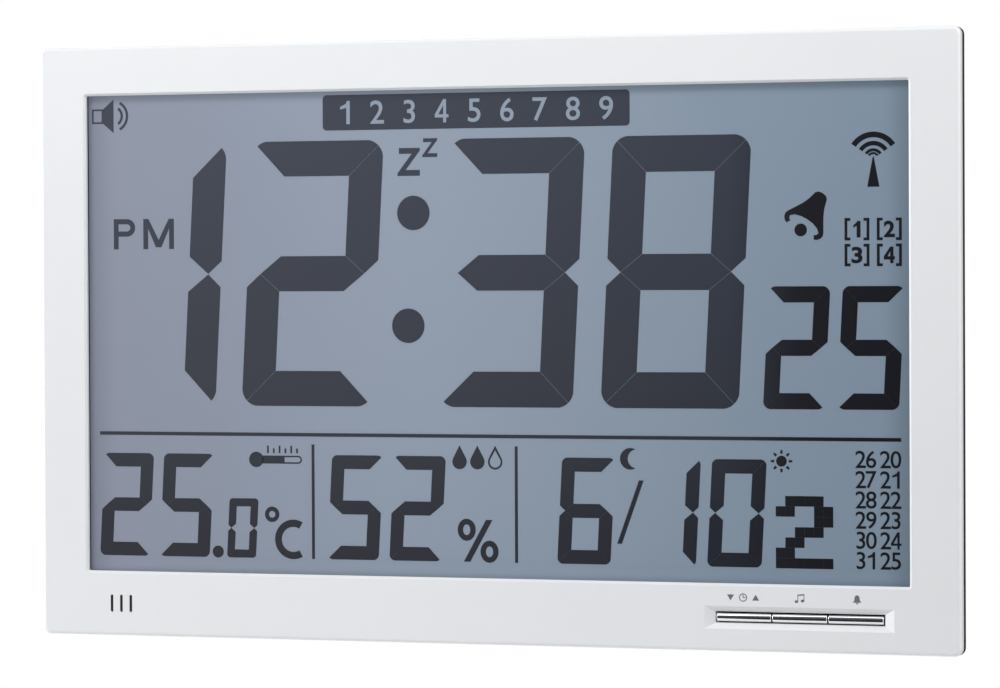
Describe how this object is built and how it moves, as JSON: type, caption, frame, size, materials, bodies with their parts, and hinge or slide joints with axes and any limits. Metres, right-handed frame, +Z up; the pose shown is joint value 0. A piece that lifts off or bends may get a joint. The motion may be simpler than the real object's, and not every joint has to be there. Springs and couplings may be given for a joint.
{
  "type": "digital wall clock",
  "caption": "Large white-bordered digital wall clock with a liquid crystal display, bar buttons under it, a tapered black back, hanging holes and a sliding battery door.",
  "frame": {"origin": "middle of the flat back, on the wall plane", "axes": "+X to the right as the clock is read, +Z up, +Y into the wall; the display faces -Y"},
  "size_m": [0.38, 0.03, 0.238],
  "materials": {
    "white_shell": "white satin moulding",
    "black_seal": "black foam rubber",
    "lcd_film": "blue-grey anti-glare film",
    "pane": "thin float glass",
    "silver_foil": "silvered foil",
    "inner_plastic": "natural moulding",
    "screw_steel": "zinc plated",
    "grey_rubber": "striped contact rubber",
    "lcd_ink": "dark lit bars",
    "green_board": "green solder mask",
    "epoxy": "black drop of epoxy",
    "can_metal": "sleeved can",
    "chromed_bar": "chromed plastic",
    "plunger_plastic": "black plunger",
    "switch_plastic": "black moulding",
    "lead_grey": "grey insulation",
    "lead_red": "red insulation",
    "sensor_ceramic": "white sensor body",
    "black_shell": "fine grained black moulding",
    "black_screw": "black oxide",
    "cell_wrap": "printed cell wrap",
    "contact_metal": "nickel plated spring steel",
    "frame_metal": "pressed steel",
    "cone_paper": "black paper",
    "ferrite": "dark ferrite",
    "copper_wire": "enamelled copper"
  },
  "bodies": {
    "case": {"front_bezel": "white_shell", "window_gasket": "black_seal", "lcd_polariser": "lcd_film", "lcd_front_glass": "pane", "lcd_rear_glass": "pane", "lcd_reflector": "silver_foil", "lcd_retainer": "inner_plastic", "retainer_screws": "screw_steel", "zebra_strip": "grey_rubber", "hour_minute_digits": "lcd_ink", "colon_dots": "lcd_ink", "seconds_digits": "lcd_ink", "temperature_digits": "lcd_ink", "humidity_digits": "lcd_ink", "date_digits": "lcd_ink", "display_rules": "lcd_ink", "display_banner": "lcd_ink", "main_pcb": "green_board", "pcb_screws": "screw_steel", "mcu_glob_top": "epoxy", "quartz_crystal": "screw_steel", "capacitors": "can_metal", "board_connectors": "inner_plastic", "tact_switch_bodies": "switch_plastic", "key_pcb": "green_board", "key_pcb_screws": "screw_steel", "key_ribbon": "lead_grey", "sensor_shroud": "black_seal", "dust_filter": "black_seal", "sensor_pcb": "green_board", "humidity_sensor": "sensor_ceramic", "sensor_screw": "screw_steel", "sensor_lead": "lead_grey", "rear_cover": "black_shell", "rear_cover_screws": "black_screw", "aa_cells": "cell_wrap", "battery_contacts_positive": "contact_metal", "battery_contacts_negative": "contact_metal", "battery_leads": "lead_red", "speaker_frame": "frame_metal", "speaker_cone": "cone_paper", "speaker_magnet": "ferrite", "speaker_screws": "screw_steel", "speaker_lead": "lead_red", "ferrite_rod": "ferrite", "antenna_coil": "copper_wire", "antenna_lead": "lead_grey", "reset_switch": "switch_plastic"},
    "mode_key": {"mode_button": "chromed_bar", "mode_plunger": "plunger_plastic"},
    "chime_key": {"chime_button": "chromed_bar", "chime_plunger": "plunger_plastic"},
    "alarm_key": {"alarm_button": "chromed_bar", "alarm_plunger": "plunger_plastic"},
    "reset_key": {"reset_button": "switch_plastic", "reset_plunger": "plunger_plastic"},
    "door": {"battery_door": "black_shell"}
  },
  "joints": [
    {"name": "mode_press", "type": "slide", "parent": "case", "child": "mode_key", "axis": [0, 1, 0], "range_m": [0, 0.0005], "stiffness_N_per_m": 600},
    {"name": "chime_press", "type": "slide", "parent": "case", "child": "chime_key", "axis": [0, 1, 0], "range_m": [0, 0.0005], "stiffness_N_per_m": 600},
    {"name": "alarm_press", "type": "slide", "parent": "case", "child": "alarm_key", "axis": [0, 1, 0], "range_m": [0, 0.0005], "stiffness_N_per_m": 600},
    {"name": "reset_press", "type": "slide", "parent": "case", "child": "reset_key", "axis": [0, -1, 0], "range_m": [0, 0.0006], "stiffness_N_per_m": 600},
    {"name": "door_slide", "type": "slide", "parent": "case", "child": "door", "axis": [0, 0, -1], "range_m": [0, 0.0425]}
  ]
}
